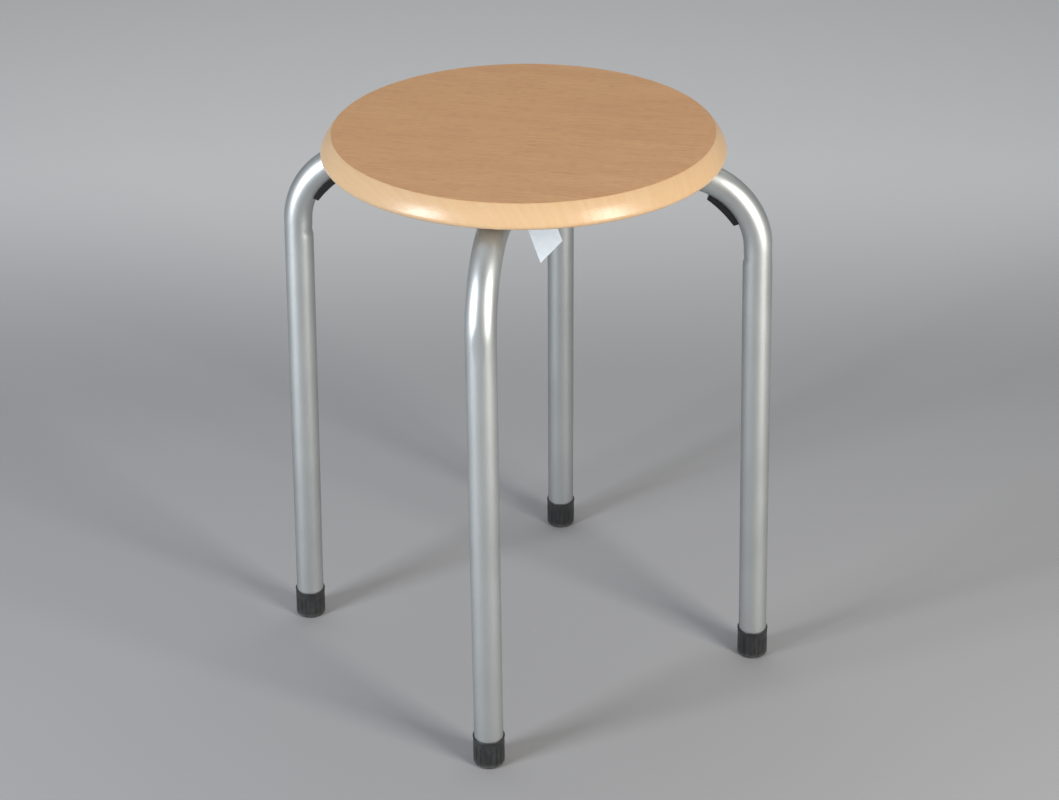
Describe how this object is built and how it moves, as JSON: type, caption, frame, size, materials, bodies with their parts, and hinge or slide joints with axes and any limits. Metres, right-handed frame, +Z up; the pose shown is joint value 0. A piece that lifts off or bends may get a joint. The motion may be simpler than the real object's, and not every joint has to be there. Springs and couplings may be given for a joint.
{
  "type": "stacking stool",
  "caption": "Backless round stacking stool: wood-look seat with a rolled edge on bent silver tube legs with black foot caps and pads.",
  "frame": {"origin": "on the floor, under the middle of the round seat", "axes": "+Z up; +Y to the back; the legs stand at the four corners, on the diagonals of X and Y"},
  "size_m": [0.302, 0.302, 0.45],
  "materials": {
    "decor_laminate": "satin printed laminate, fine straight grain",
    "edge_film": "glossy printed film with fine beech flecks",
    "board": "raw fibreboard",
    "backing": "brown balancing paper, resin-soaked, matt",
    "silver_tube": "silver metallic paint, half gloss",
    "weld": "silver metallic paint over a weld bead",
    "cap_rubber": "black moulded, matt",
    "pad_plastic": "black moulded, half matt",
    "screw_steel": "zinc plated",
    "tag_card": "plain white coated card",
    "staple_steel": "bright wire"
  },
  "bodies": {
    "root": {"seat_core": "board", "seat_top_laminate": "decor_laminate", "seat_edge_film": "edge_film", "seat_backing_sheet": "backing", "long_leg_tube": "silver_tube", "short_leg_tube_front_left": "silver_tube", "short_leg_tube_rear_right": "silver_tube", "weld_bead_front_left": "weld", "weld_bead_rear_right": "weld", "foot_cap_front_right": "cap_rubber", "foot_cap_rear_left": "cap_rubber", "foot_cap_front_left": "cap_rubber", "foot_cap_rear_right": "cap_rubber", "stacking_pad_front_right": "pad_plastic", "stacking_pad_rear_left": "pad_plastic", "stacking_pad_front_left": "pad_plastic", "stacking_pad_rear_right": "pad_plastic", "seat_screw_front_right": "screw_steel", "seat_screw_rear_left": "screw_steel", "seat_screw_front_left": "screw_steel", "seat_screw_rear_right": "screw_steel", "paper_tag": "tag_card", "tag_staple": "staple_steel"}
  },
  "joints": []
}
